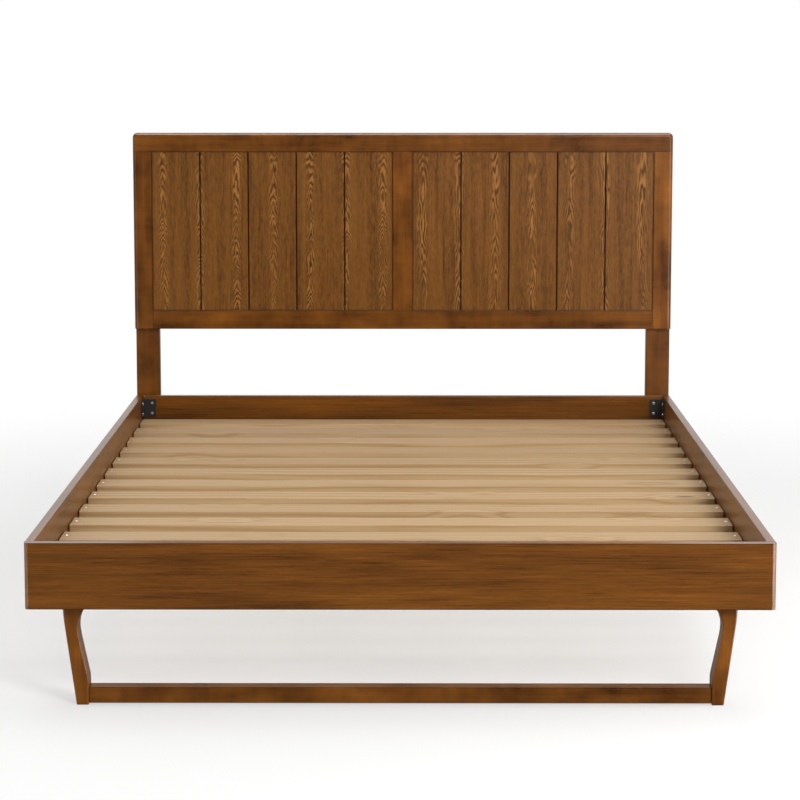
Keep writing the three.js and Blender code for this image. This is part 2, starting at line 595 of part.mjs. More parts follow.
// The headboard's outer form: rounded front edges and top corners. Each rail and stile is a slice of it.
function headboardForm() {
  const half = OUTER_HALF;
  const top = HEADBOARD_HEIGHT;
  const corner = HEADBOARD_CORNER;
  const overrun = 2 * HEADBOARD_ROUND; // keeps the rounding off the lower and rear edges
  const outline = new THREE.Shape();
  outline.moveTo(-half, -overrun);
  outline.lineTo(half, -overrun);
  outline.lineTo(half, top - corner);
  outline.absarc(half - corner, top - corner, corner, 0, Math.PI / 2);
  outline.lineTo(-half + corner, top);
  outline.absarc(-half + corner, top - corner, corner, Math.PI / 2, Math.PI);
  return plateAlongY(outline, HEADBOARD_DEPTH + overrun, {
    bevelEnabled: true,
    bevelThickness: HEADBOARD_ROUND,
    bevelSize: HEADBOARD_ROUND,
    bevelOffset: -HEADBOARD_ROUND,
    bevelSegments: HEADBOARD_STEPS,
    curveSegments: HEADBOARD_STEPS,
  }).translate(0, HEADBOARD_ROUND, 0);
}

const TENON_SPAN = [PANEL_RECESS, PANEL_RECESS + PANEL_THICKNESS]; // in y, shared with the panels' grooves
const widened = ([from, to], room) => [from - room, to + room];

// A groove or tongue volume around one panel's edges.
function panelBlock(sign, reach, y) {
  const inner = CENTRE_STILE_WIDTH / 2;
  const edges = [inner - reach, inner + PANEL_OPENING_WIDTH + reach];
  const across = edges.map((x) => sign * x).sort((a, b) => a - b);
  return block(across, y, [HEADBOARD_MEMBER - reach, HEADBOARD_MEMBER + PANEL_OPENING_HEIGHT + reach]);
}

function panelGeometry(sign) {
  const panel = panelBlock(sign, PANEL_TONGUE, TENON_SPAN);
  const plank = PANEL_OPENING_WIDTH / PLANKS_PER_PANEL;
  const grooves = Array.from({ length: PLANKS_PER_PANEL - 1 }, (_, i) => {
    // A wedge twice the groove's size, so that it starts well in front of the panel's face.
    const wedge = new THREE.Shape();
    wedge.moveTo(-V_GROOVE_WIDTH, -V_GROOVE_DEPTH);
    wedge.lineTo(V_GROOVE_WIDTH, -V_GROOVE_DEPTH);
    wedge.lineTo(0, V_GROOVE_DEPTH);
    const tool = new THREE.ExtrudeGeometry(wedge, { depth: HEADBOARD_HEIGHT, bevelEnabled: false });
    return tool.translate(sign * (CENTRE_STILE_WIDTH / 2 + (i + 1) * plank), PANEL_RECESS, 0);
  });
  return cut(panel, grooves);
}

function headboard() {
  const group = new THREE.Group();
  group.position.set(0, HEAD_RAIL_BACK - HEADBOARD_DEPTH, HEADBOARD_UNDERSIDE);
  const form = solidOf(headboardForm());
  const deep = [-OVERRUN, HEADBOARD_DEPTH - FIT];
  const member = HEADBOARD_MEMBER;
  const top = HEADBOARD_HEIGHT - member; // underside of the top rail
  const grooves = [-1, 1].map((sign) => solidOf(panelBlock(sign, GROOVE_DEPTH, widened(TENON_SPAN, FIT))));
  const stileTenon = ([x0, x1], z, room) =>
    block(
      widened([x0 + FRAME_TENON_SHOULDER, x1 - FRAME_TENON_SHOULDER], room),
      widened(TENON_SPAN, room),
      widened(z, room),
    );
  const railTenon = (x, room) =>
    block(
      widened(x, room),
      widened(TENON_SPAN, room),
      widened([FRAME_TENON_SHOULDER, member - FRAME_TENON_SHOULDER], room),
    );
  const stiles = {
    left: [-OUTER_HALF, -OUTER_HALF + member],
    centre: [-CENTRE_STILE_WIDTH / 2, CENTRE_STILE_WIDTH / 2],
    right: [OUTER_HALF - member, OUTER_HALF],
  };
  const topTenon = (span, room) => stileTenon(span, [top - OVERRUN, top + FRAME_TENON_LENGTH], room);
  const footTenon = (span, room) => stileTenon(span, [member - FRAME_TENON_LENGTH, member + OVERRUN], room);
  const inner = OUTER_HALF - member;
  const railTenons = (room) => [
    railTenon([-inner - FRAME_TENON_LENGTH, -inner + OVERRUN], room),
    railTenon([inner - OVERRUN, inner + FRAME_TENON_LENGTH], room),
  ];

  // A board is a slice of the outer form, less the grooves and mortises, plus its own tenons.
  const board = (name, x, z, mortises, tenons) => {
    let solid = form.intersect(solidOf(block(x, deep, z)));
    for (const groove of grooves) solid = solid.subtract(groove);
    for (const mortise of mortises) solid = solid.subtract(solidOf(mortise));
    for (const tenon of tenons) solid = solid.add(solidOf(tenon));
    group.add(part(name, geometryOf(solid), walnutSolid));
  };
  board(
    "headboard_top_rail",
    [-OUTER_HALF - OVERRUN, OUTER_HALF + OVERRUN],
    [top, HEADBOARD_HEIGHT + OVERRUN],
    Object.values(stiles).map((span) => topTenon(span, FIT)),
    [],
  );
  for (const side of ["left", "right"]) {
    const span = stiles[side];
    board(`headboard_${side}_stile`, span, [0, top - FIT], railTenons(FIT), [topTenon(span, 0)]);
  }
  const bottomSpan = [-inner + FIT, inner - FIT];
  board("headboard_bottom_rail", bottomSpan, [0, member], [footTenon(stiles.centre, FIT)], railTenons(0));
  board(
    "headboard_centre_stile",
    stiles.centre,
    [member + FIT, top - FIT],
    [],
    [topTenon(stiles.centre, 0), footTenon(stiles.centre, 0)],
  );
  for (const [side, sign] of SIDES) {
    group.add(part(`headboard_${side}_panel`, panelGeometry(sign), grooveVeneer));
  }
  return group;
}

function headboardPost(side, sign) {
  const outer = OUTER_HALF - POST_INSET;
  const across = [sign * (outer - POST_WIDTH), sign * outer].sort((a, b) => a - b);
  const height = HEADBOARD_UNDERSIDE + HEADBOARD_HEIGHT - POST_TOP_DROP;
  const post = block(across, [0, POST_DEPTH], [0, height]);
  const x = sign * POST_BOLT_X;
  const recess = [POST_DEPTH - POST_BOLT_RECESS, POST_DEPTH + OVERRUN];
  const recessRadius = BOLT_HEAD_RADIUS + POST_BOLT_RECESS_ROOM;
  const holes = POST_BOLT_HEIGHTS.flatMap((z) => [
    boltHole(x, [-OVERRUN, POST_DEPTH + OVERRUN], z),
    rodAlongY(recessRadius, x, recess, z, ROD_SIDES),
  ]);
  return part(`headboard_${side}_post`, cut(post, holes), walnutSolid, [0, HEAD_RAIL_BACK, 0]);
}

function headboardBolts() {
  const seat = POST_DEPTH - POST_BOLT_RECESS;
  const bolt = boltGeometry(seat + BOLT_REACH);
  return SIDES.flatMap(([side, sign]) =>
    POST_BOLT_HEIGHTS.map((z, i) => {
      const place = [sign * POST_BOLT_X, HEAD_RAIL_BACK + seat + FIT, z];
      return part(`headboard_${side}_bolt_${i + 1}`, bolt, zincSteel, place, Math.PI);
    }),
  );
}

// ---- The bed ----

const bed = new THREE.Group();
bed.add(footRail(), headRail());
for (const [side, sign] of SIDES) {
  bed.add(sideRail(side, sign), slatLedge(side, sign), headboardPost(side, sign));
}
bed.add(...slats());
bed.add(legFrame("foot", FOOT_RAIL_BACK + FIT, 0), legFrame("head", HEAD_RAIL_FRONT - FIT, Math.PI));
bed.add(centreBeam(), centreLegPlate(), centreLeg(), levelerInsert(), levelerScrew(), levelerPad());
bed.add(beamHanger("foot_beam_hanger", BEAM_FRONT, 0));
bed.add(beamHanger("head_beam_hanger", BEAM_BACK, Math.PI));
bed.add(...cornerIrons(), headboard(), ...headboardBolts());

export default bed;
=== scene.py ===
"""A walnut-stained queen bed frame: procedural wood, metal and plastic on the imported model, plus its screws.

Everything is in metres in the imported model's frame: +X right as seen from the foot, +Y towards the
headboard, +Z up, with the floor at z = 0.
"""
import json
import math
import random

import bmesh
import bpy
from mathutils import Matrix, Vector


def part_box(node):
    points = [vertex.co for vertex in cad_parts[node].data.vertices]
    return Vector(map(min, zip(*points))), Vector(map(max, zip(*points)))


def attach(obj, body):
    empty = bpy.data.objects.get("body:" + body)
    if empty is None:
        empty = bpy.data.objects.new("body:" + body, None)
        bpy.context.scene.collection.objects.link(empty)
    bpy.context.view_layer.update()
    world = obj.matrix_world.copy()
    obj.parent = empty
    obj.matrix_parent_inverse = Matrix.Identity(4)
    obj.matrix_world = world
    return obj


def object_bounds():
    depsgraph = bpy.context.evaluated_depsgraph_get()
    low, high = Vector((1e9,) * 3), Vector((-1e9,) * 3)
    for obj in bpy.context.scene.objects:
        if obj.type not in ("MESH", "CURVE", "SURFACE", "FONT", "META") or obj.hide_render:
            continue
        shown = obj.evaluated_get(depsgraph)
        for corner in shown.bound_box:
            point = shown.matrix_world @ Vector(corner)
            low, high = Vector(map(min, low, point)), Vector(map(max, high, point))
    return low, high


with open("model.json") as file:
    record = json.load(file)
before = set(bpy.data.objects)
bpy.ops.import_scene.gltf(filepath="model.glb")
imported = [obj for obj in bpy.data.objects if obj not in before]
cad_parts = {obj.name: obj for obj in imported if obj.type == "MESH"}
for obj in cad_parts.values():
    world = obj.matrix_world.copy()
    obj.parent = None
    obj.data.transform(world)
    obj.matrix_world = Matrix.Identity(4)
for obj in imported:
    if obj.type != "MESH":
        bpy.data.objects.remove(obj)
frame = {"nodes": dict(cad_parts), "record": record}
nodes = frame["nodes"]
slot_of = {entry["node"]: entry["material_slot"] for entry in frame["record"]["subparts"]}
cad_low, cad_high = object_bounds()
scene = bpy.context.scene
scene.view_settings.view_transform = "Standard"

MM = 0.001
Y, Z = 1, 2  # places in a point, whose X is 0


# ---- Camera ----

CAMERA_BEHIND_FOOT = 4.933  # from the foot rail's face back to the camera
CAMERA_ASIDE = 0.019
CAMERA_HEIGHT = 1.4334
CAMERA_TILT = 6.82  # degrees below the horizon
CAMERA_TURN = 0.222
LENS_MM = 105.74
SENSOR_MM = 36
CAMERA_SHIFT = -0.1


def add_camera():
    data = bpy.data.cameras.new("camera")
    data.lens = LENS_MM
    data.sensor_width = SENSOR_MM
    data.shift_y = CAMERA_SHIFT
    camera = bpy.data.objects.new("camera", data)
    camera.location = (CAMERA_ASIDE, cad_low.y - CAMERA_BEHIND_FOOT, CAMERA_HEIGHT)
    camera.rotation_euler = (math.radians(90 - CAMERA_TILT), 0, math.radians(CAMERA_TURN))
    scene.collection.objects.link(camera)
    scene.camera = camera


add_camera()


# ---- Studio ----

FLOOR_HALF = 60.0
FLOOR_COLOUR = (0.84, 0.84, 0.835, 1)
BACKGROUND = (1.0, 1.0, 1.0, 1)
FADE_SPAN = (1.1, 3.4)  # between these distances from the origin the floor turns into the background
NEAR_GLOW = 0.5  # how much of the background's white is in the floor under the bed


def material(name):
    made = bpy.data.materials.new(name)
    made.use_nodes = True
    return made


def ramp(tree, value, span, to_low, to_high):
    """A smooth step from to_low to to_high over the span of a value."""
    made = tree.nodes.new("ShaderNodeMapRange")
    made.interpolation_type = "SMOOTHSTEP"
    made.inputs["From Min"].default_value, made.inputs["From Max"].default_value = span
    made.inputs["To Min"].default_value = to_low
    made.inputs["To Max"].default_value = to_high
    tree.links.new(value, made.inputs["Value"])
    return made.outputs["Result"]


def paint_floor():
    """A matt paint with some of the background's white in it, more of it further out."""
    paint = material("floor_paint")
    tree = paint.node_tree
    shader = tree.nodes["Principled BSDF"]
    shader.inputs["Base Color"].default_value = FLOOR_COLOUR
    shader.inputs["Roughness"].default_value = 0.9
    shader.inputs["Specular IOR Level"].default_value = 0.0
    where = tree.nodes.new("ShaderNodeTexCoord")
    length = tree.nodes.new("ShaderNodeVectorMath")
    length.operation = "LENGTH"
    white = tree.nodes.new("ShaderNodeEmission")
    white.inputs["Color"].default_value = BACKGROUND
    mix = tree.nodes.new("ShaderNodeMixShader")
    link = tree.links.new
    link(where.outputs["Object"], length.inputs[0])
    link(ramp(tree, length.outputs["Value"], FADE_SPAN, NEAR_GLOW, 1.0), mix.inputs["Fac"])
    link(shader.outputs["BSDF"], mix.inputs[1])
    link(white.outputs["Emission"], mix.inputs[2])
    link(mix.outputs["Shader"], tree.nodes["Material Output"].inputs["Surface"])
    return paint


def add_floor():
    mesh = bpy.data.meshes.new("floor")
    form = bmesh.new()
    corners = ((-1, -1), (1, -1), (1, 1), (-1, 1))
    form.faces.new([form.verts.new((x * FLOOR_HALF, y * FLOOR_HALF, 0)) for x, y in corners])
    form.to_mesh(mesh)
    form.free()
    mesh.materials.append(paint_floor())
    floor = bpy.data.objects.new("floor", mesh)
    floor.visible_glossy = False  # the lacquer mirrors the studio's dark side, and no white floor
    scene.collection.objects.link(floor)


def add_light(name, place, target, size, power, lights=True, mirrored=True):
    """A soft box that lights the wood, shows in its lacquer, or both."""
    data = bpy.data.lights.new(name, "AREA")
    data.shape = "RECTANGLE"
    data.size, data.size_y = size
    data.energy = power
    light = bpy.data.objects.new(name, data)
    light.location = place
    light.rotation_euler = (Vector(target) - Vector(place)).to_track_quat("-Z", "Y").to_euler()
    light.visible_camera = False
    light.visible_diffuse = lights
    light.visible_glossy = mirrored
    scene.collection.objects.link(light)


FRONT_GLOW = 0.05  # the studio's dark side, behind the camera
BACK_GLOW = 1.15  # its bright side, behind the headboard
GLOW_SPAN = (-0.35, 0.85)  # between these Y parts of a direction the dark side turns into the bright one
LOW_GLOW = 0.2  # how much of either is left below the horizon
LOW_SPAN = (-0.16, 0.0)  # between these Z parts of a direction it comes back


def background(tree):
    made = tree.nodes.new("ShaderNodeBackground")
    made.inputs["Color"].default_value = BACKGROUND
    return made


def add_world():
    """A bright wall behind the bed and a dim one behind the camera. The camera itself sees plain white."""
    world = bpy.data.worlds.new("studio")
    scene.world = world
    world.use_nodes = True
    tree = world.node_tree
    tree.nodes.clear()
    link = tree.links.new
    coordinates = tree.nodes.new("ShaderNodeTexCoord")
    split = tree.nodes.new("ShaderNodeSeparateXYZ")
    link(coordinates.outputs["Generated"], split.inputs["Vector"])
    product = tree.nodes.new("ShaderNodeMath")
    product.operation = "MULTIPLY"
    link(ramp(tree, split.outputs["Y"], GLOW_SPAN, FRONT_GLOW, BACK_GLOW), product.inputs[0])
    link(ramp(tree, split.outputs["Z"], LOW_SPAN, LOW_GLOW, 1.0), product.inputs[1])
    lit = background(tree)
    link(product.outputs["Value"], lit.inputs["Strength"])
    path = tree.nodes.new("ShaderNodeLightPath")
    mix = tree.nodes.new("ShaderNodeMixShader")
    link(path.outputs["Is Camera Ray"], mix.inputs["Fac"])
    link(lit.outputs["Background"], mix.inputs[1])
    link(background(tree).outputs["Background"], mix.inputs[2])
    output = tree.nodes.new("ShaderNodeOutputWorld")
    link(mix.outputs["Shader"], output.inputs["Surface"])


add_floor()
add_world()
add_light("key", (2.2, -4.2, 2.9), (0.1, 0, 0.5), (1.6, 1.6), 142)
add_light("fill", (-3.0, -4.8, 2.2), (0, 0, 0.5), (2.2, 2.2), 25, mirrored=False)
add_light("right_side", (2.55, -1.05, 0.6), (0, -0.9, 0.6), (1.2, 2.4), 50)
add_light("left_side", (-2.65, -1.05, 0.6), (0, -0.9, 0.6), (1.2, 2.4), 16)
add_light("overhead", (0, 0.2, 4.4), (0, 0, 0.3), (5.0, 3.4), 75)
# The cards show only in the lacquer. The side ones are for the foot rail's rounded corners, and lie below
# the floor.
add_light("top_card", (0, 0.6, 4.2), (0, 0.6, 0), (5.0, 1.0), 220, lights=False)
add_light("right_card", (2.23, -2.3, -0.12), (0.8, -1.07, -0.12), (1.4, 0.35), 42, lights=False)
add_light("left_card", (-2.23, -2.3, -0.12), (-0.8, -1.07, -0.12), (1.4, 0.35), 10, lights=False)


# ---- Node-tree building ----

class Weave:
    """Builds one material's nodes. Each method returns an output socket."""

    def __init__(self, name):
        self.material = material(name)
        self.tree = self.material.node_tree
        self.shader = self.tree.nodes["Principled BSDF"]
        self.where = self.add("ShaderNodeTexCoord").outputs["Object"]

    def add(self, kind):
        return self.tree.nodes.new(kind)

    def put(self, value, socket):
        """A socket is linked, and a number or colour is set."""
        if isinstance(value, bpy.types.NodeSocket):
            self.tree.links.new(value, socket)
        else:
            socket.default_value = value

    def scaled(self, scale, shift=(0, 0, 0)):
        """The object's coordinates, shifted and then stretched by scale on each axis."""
        moved = self.add("ShaderNodeVectorMath")
        moved.operation = "ADD"
        self.put(self.where, moved.inputs[0])
        self.put(shift, moved.inputs[1])
        grown = self.add("ShaderNodeVectorMath")
        grown.operation = "MULTIPLY"
        self.put(moved.outputs[0], grown.inputs[0])
        self.put(scale, grown.inputs[1])
        return grown.outputs[0]

    def parts(self, vector):
        split = self.add("ShaderNodeSeparateXYZ")
        self.put(vector, split.inputs[0])
        return split.outputs["X"], split.outputs["Y"], split.outputs["Z"]

    def noise(self, vector, detail=3.0, roughness=0.5):
        made = self.add("ShaderNodeTexNoise")
        self.put(vector, made.inputs["Vector"])
        made.inputs["Scale"].default_value = 1.0
        made.inputs["Detail"].default_value = detail
        made.inputs["Roughness"].default_value = roughness
        return made.outputs["Fac"]

    def math(self, operation, a, b=0.0, c=0.0):
        made = self.add("ShaderNodeMath")
        made.operation = operation
        for value, socket in zip((a, b, c), made.inputs):
            self.put(value, socket)
        return made.outputs[0]

    def spread(self, value, low, high, to_low=0.0, to_high=1.0, smooth=False):
        made = self.add("ShaderNodeMapRange")
        made.interpolation_type = "SMOOTHSTEP" if smooth else "LINEAR"
        for number, socket in zip((value, low, high, to_low, to_high), made.inputs):
            self.put(number, socket)
        return made.outputs[0]

    def blend(self, share, a, b):
        made = self.add("ShaderNodeMix")
        made.data_type = "RGBA"
        self.put(share, made.inputs["Factor"])
        self.put(a, made.inputs["A"])
        self.put(b, made.inputs["B"])
        return made.outputs["Result"]

    def random_of(self, value):
        made = self.add("ShaderNodeTexWhiteNoise")
        made.noise_dimensions = "1D"
        self.put(value, made.inputs["W"])
        return made.outputs["Value"]

    def relief(self, height, depth, strength):
        """A bump of the given depth in metres."""
        made = self.add("ShaderNodeBump")
        made.inputs["Distance"].default_value = depth
        made.inputs["Strength"].default_value = strength
        self.put(height, made.inputs["Height"])
        return made.outputs[0]

    def finish(self, colour, roughness, normal, metallic=0.0, gloss=0.5):
        self.put(colour, self.shader.inputs["Base Color"])
        self.put(roughness, self.shader.inputs["Roughness"])
        self.shader.inputs["Metallic"].default_value = metallic
        self.shader.inputs["Specular IOR Level"].default_value = gloss
        self.put(normal, self.shader.inputs["Normal"])
        return self.material


def along(axis, grain, across):
    """Stretches of texture space: `grain` per metre along the grain, `across` per metre the other ways."""
    return tuple(grain if i == axis else across for i in range(3))


def tint(colour, amount):
    return tuple(min(1.0, c * amount) for c in colour[:3]) + (1,)


# ---- Wood ----

# The dark stain colour, also the colour of the painted shade at joints and in the V-grooves.
DARK_STAIN_AND_SHADE = (0.045, 0.0115, 0.0006, 1)
STAIN_LIGHT = (0.285, 0.0920, 0.0045, 1)
VENEER_DARK = (0.042, 0.0120, 0.0010, 1)
VENEER_LIGHT = (0.282, 0.1060, 0.0110, 1)
LACQUER_GLOSS = 0.4
JOINT_STAIN_AND_SHADE = 0.72  # stain gathers along a board's sharp edges, and painted shade darkens them where the parts meet
JOINT_SPAN = (0.0004, 0.0024)  # between these distances from an edge it fades out


def edge_distance(weave, name, tongue=0.0):
    """How far a place on a board's surface is from the nearest edge of its box, less the tongue round it."""
    low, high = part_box(name)
    coordinates = weave.parts(weave.where)
    gaps = []
    for i in range(3):
        inset = 0.0 if i == Y else tongue
        offset = weave.math("ABSOLUTE", weave.math("SUBTRACT", coordinates[i], (low[i] + high[i]) / 2))
        gaps.append(weave.math("SUBTRACT", (high[i] - low[i]) / 2 - inset, offset))
    a, b, c = gaps
    smaller = weave.math("MINIMUM", a, b)
    larger = weave.math("MAXIMUM", a, b)
    return weave.math("MAXIMUM", smaller, weave.math("MINIMUM", larger, c))


def paint_joint_stain_and_shade(weave, name, colour, tongue=0.0):
    """Darkens a board's colour along its sharp edges: stain, and painted shade where the parts meet."""
    distance = edge_distance(weave, name, tongue)
    edge = weave.spread(distance, *JOINT_SPAN, JOINT_STAIN_AND_SHADE, 0.0, smooth=True)
    return weave.blend(edge, colour, tint(DARK_STAIN_AND_SHADE, 0.35))


def rings(weave, axis, shift, pith_depth, spacing, wander):
    """Growth rings, 0 to 1 and back, round a pith below the board that wanders slowly along the grain."""
    low = weave.noise(weave.scaled(along(axis, 0.9, 3.0), shift), detail=2.0)
    parts = weave.parts(weave.where)
    first, second = [i for i in range(3) if i != axis]
    u = weave.math("ADD", parts[first], shift[first] % pith_depth - pith_depth / 2)
    v = weave.math("ADD", parts[second], pith_depth)
    square = weave.math("MULTIPLY_ADD", u, u, weave.math("MULTIPLY", v, v))
    radius = weave.math("MULTIPLY_ADD", low, wander, weave.math("SQRT", square))
    turns = weave.math("MULTIPLY", radius, 1 / spacing)
    return weave.math("PINGPONG", turns, 1.0)


def fibres(weave, axis, shift):
    """Streaks along the grain, fine and broad."""
    fine = weave.noise(weave.scaled(along(axis, 6, 330), shift), detail=5.0, roughness=0.74)
    broad = weave.noise(weave.scaled(along(axis, 1.6, 60), shift), detail=4.0, roughness=0.6)
    return fine, broad


def open_pores(weave, axis, shift):
    """Short dark pores along the grain."""
    pores = weave.noise(weave.scaled(along(axis, 34, 620), shift), detail=2.0, roughness=0.55)
    return weave.spread(pores, 0.56, 0.68, smooth=True)


def rail_veneer(name, axis, shift, tone):
    """Straight-grained veneer: long fine streaks, slow bands of tone, and short dark pores."""
    weave = Weave(f"rail_veneer_{name}")
    fine, broad = fibres(weave, axis, shift)
    pores = open_pores(weave, axis, shift)
    bands = weave.noise(weave.scaled(along(axis, 2.2, 20), shift), detail=3.0, roughness=0.55)
    share = weave.math("MULTIPLY_ADD", fine, 0.95, weave.math("MULTIPLY", broad, 0.30))
    share = weave.math("MULTIPLY_ADD", bands, 0.75, share)
    light = weave.spread(share, 0.66, 1.32)
    colour = weave.blend(light, tint(VENEER_DARK, 0.95 * tone), tint(STAIN_LIGHT, 0.88 * tone))
    colour = weave.blend(weave.math("MULTIPLY", pores, 0.30), colour, tint(DARK_STAIN_AND_SHADE, 0.9))
    colour = paint_joint_stain_and_shade(weave, name, colour)
    roughness = weave.spread(fine, 0.3, 0.7, 0.26, 0.36)
    normal = weave.relief(weave.math("SUBTRACT", fine, pores), 0.00006, 0.5)
    return weave.finish(colour, roughness, normal, gloss=LACQUER_GLOSS)


def stained_wood(name, axis, shift, tone):
    """Solid close-grained wood, stained unevenly: soft rings, cloudy patches and faint cross-figure."""
    weave = Weave(f"stained_wood_{name}")
    fine, broad = fibres(weave, axis, shift)
    pores = open_pores(weave, axis, shift)
    ring = rings(weave, axis, shift, pith_depth=0.09, spacing=0.011, wander=0.045)
    late = weave.spread(ring, 0.30, 0.85, smooth=True)
    cloud = weave.noise(weave.scaled(along(axis, 8, 14), shift), detail=2.0, roughness=0.5)
    curl = weave.noise(weave.scaled(along(axis, 46, 16), shift), detail=2.0)
    share = weave.math("MULTIPLY_ADD", cloud, 1.0, weave.math("MULTIPLY", broad, 0.40))
    share = weave.math("MULTIPLY_ADD", curl, 0.30, share)
    share = weave.math("MULTIPLY_ADD", fine, 0.45, share)
    light = weave.spread(share, 0.76, 1.40)
    colour = weave.blend(light, tint(DARK_STAIN_AND_SHADE, 1.20 * tone), tint(STAIN_LIGHT, 0.94 * tone))
    colour = weave.blend(weave.math("MULTIPLY", late, 0.14), colour, tint(DARK_STAIN_AND_SHADE, 1.2 * tone))
    colour = weave.blend(weave.math("MULTIPLY", pores, 0.20), colour, tint(DARK_STAIN_AND_SHADE, 0.8))
    colour = paint_joint_stain_and_shade(weave, name, colour)
    roughness = weave.spread(cloud, 0.3, 0.7, 0.27, 0.31)
    normal = weave.relief(fine, 0.00004, 0.4)
    return weave.finish(colour, roughness, normal, gloss=LACQUER_GLOSS)


LEAF_WIDTH = 0.1096  # each leaf of the panels' veneer
LEAF_START = 0.0042  # the first joint's distance from the bed's middle
FLAME_SLOPE = 95.0  # how steeply an arch's legs fall away: arches per metre across, and per square metre
FLAME_BEND = 2400.0
FLAME_RAGGED = 0.011  # how far the arches' legs stray from a smooth line
FLAME_LIGHT = (0.43, 0.185, 0.038, 1)
FLAME_ROUNDING = (0.92, 1.08)  # between these heights the arches turn from steep to round
GROOVE_STAIN_AND_SHADE = 0.93  # painted shade darkens the V-grooves, with stain that pools there
GROOVE_SPAN = (0.0002, 0.0007)  # between these depths below the panel's face it sets in
GROOVE_END = 0.006  # deeper than any groove, and short of the panel's back
PANEL_TONGUE = 0.008  # how much of a panel's edge is out of sight in its frame


def leaf_place(weave, x, shift, wander, flame_length):
    """The distance from the middle of a leaf's swaying flame, and a random number of the leaf's own."""
    from_start = weave.math("SUBTRACT", weave.math("ABSOLUTE", x), LEAF_START)
    count = weave.math("MULTIPLY", from_start, 1 / LEAF_WIDTH)
    leaf = weave.math("FLOOR", count)
    own = weave.random_of(weave.math("MULTIPLY_ADD", leaf, 1.7, shift[0]))
    sway = weave.noise(weave.scaled((5, 5, 4.5), shift), detail=3.0, roughness=0.6)
    ragged = weave.noise(weave.scaled((120, 120, 1.1 / flame_length), shift), detail=3.0, roughness=0.62)
    u = weave.math("MULTIPLY", weave.math("SUBTRACT", weave.math("FRACT", count), 0.5), LEAF_WIDTH)
    u = weave.math("MULTIPLY_ADD", weave.math("SUBTRACT", sway, 0.5), wander, u)
    u = weave.math("MULTIPLY_ADD", weave.math("SUBTRACT", ragged, 0.5), FLAME_RAGGED, u)
    return weave.math("ABSOLUTE", u), own


def flame_lines(weave, distance, z, own, shift, flame_length):
    """The light strokes of the arches, 0 to 1: steep low on the panel and round near its top."""
    fall = weave.math("MULTIPLY_ADD", distance, FLAME_BEND, FLAME_SLOPE)
    fall = weave.math("MULTIPLY", fall, distance)
    fall = weave.math("MULTIPLY", fall, weave.spread(z, *FLAME_ROUNDING, 1.0, 0.35, smooth=True))
    stretch = weave.noise(weave.scaled((3, 3, 5.5), shift), detail=2.0)
    slip = weave.noise(weave.scaled((75, 75, 0.4 / flame_length), shift), detail=2.0, roughness=0.6)
    arch = weave.math("MULTIPLY_ADD", z, 1 / flame_length, fall)
    arch = weave.math("MULTIPLY_ADD", stretch, 9.0, arch)
    arch = weave.math("MULTIPLY_ADD", slip, 2.6, arch)
    arch = weave.math("MULTIPLY_ADD", own, 9.0, arch)
    wave = weave.math("FRACT", arch)
    rise = weave.spread(wave, 0.05, 0.45, smooth=True)
    drop = weave.spread(wave, 0.95, 0.60, smooth=True)
    return weave.math("MULTIPLY", rise, drop)


def flame_strength(weave, distance, shift, flame_length, reach):
    """How much of the flame shows: most within its reach, a little beside it, and in patches along it."""
    core = weave.spread(distance, 0.3 * reach, reach, 1.0, 0.0, smooth=True)
    near = weave.spread(distance, 0.7 * reach, 2.4 * reach, 1.0, 0.0, smooth=True)
    patch = weave.noise(weave.scaled((45, 45, 0.42 / flame_length), shift), detail=3.0, roughness=0.6)
    strength = weave.math("MULTIPLY_ADD", core, 0.56, weave.math("MULTIPLY", near, 0.12))
    return weave.math("MULTIPLY", strength, weave.spread(patch, 0.36, 0.58, 0.12, 1.0, smooth=True))


def veneer_ground(weave, fine, broad, shift, tone):
    """Straight grain between the flames: flecks, streaks and upright zones of tone."""
    fleck = weave.noise(weave.scaled((260, 260, 50), shift), detail=3.0, roughness=0.6)
    share = weave.math("MULTIPLY_ADD", fine, 0.65, weave.math("MULTIPLY", broad, 0.35))
    share = weave.math("MULTIPLY_ADD", fleck, 0.65, share)
    light = weave.spread(share, 0.60, 1.08)
    colour = weave.blend(light, tint(VENEER_DARK, 1.20 * tone), tint(VENEER_LIGHT, 0.92 * tone))
    band = weave.noise(weave.scaled((34, 34, 0.8), shift), detail=3.0)
    zone = weave.spread(band, 0.40, 0.66, 0.0, 0.45)
    return weave.blend(zone, colour, tint(VENEER_LIGHT, 0.92 * tone))


def paint_groove_stain_and_shade(weave, y, colour):
    """Darkens the V-grooves with painted shade and pooled stain; they lie deeper than the panel's face and
    short of its back.
    """
    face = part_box("headboard_left_panel")[0].y
    start, full = (face + depth for depth in GROOVE_SPAN)
    share = weave.spread(y, start, full, 0.0, GROOVE_STAIN_AND_SHADE)
    share = weave.math("MULTIPLY", share, weave.math("LESS_THAN", y, face + GROOVE_END))
    return weave.blend(share, colour, tint(DARK_STAIN_AND_SHADE, 0.28))


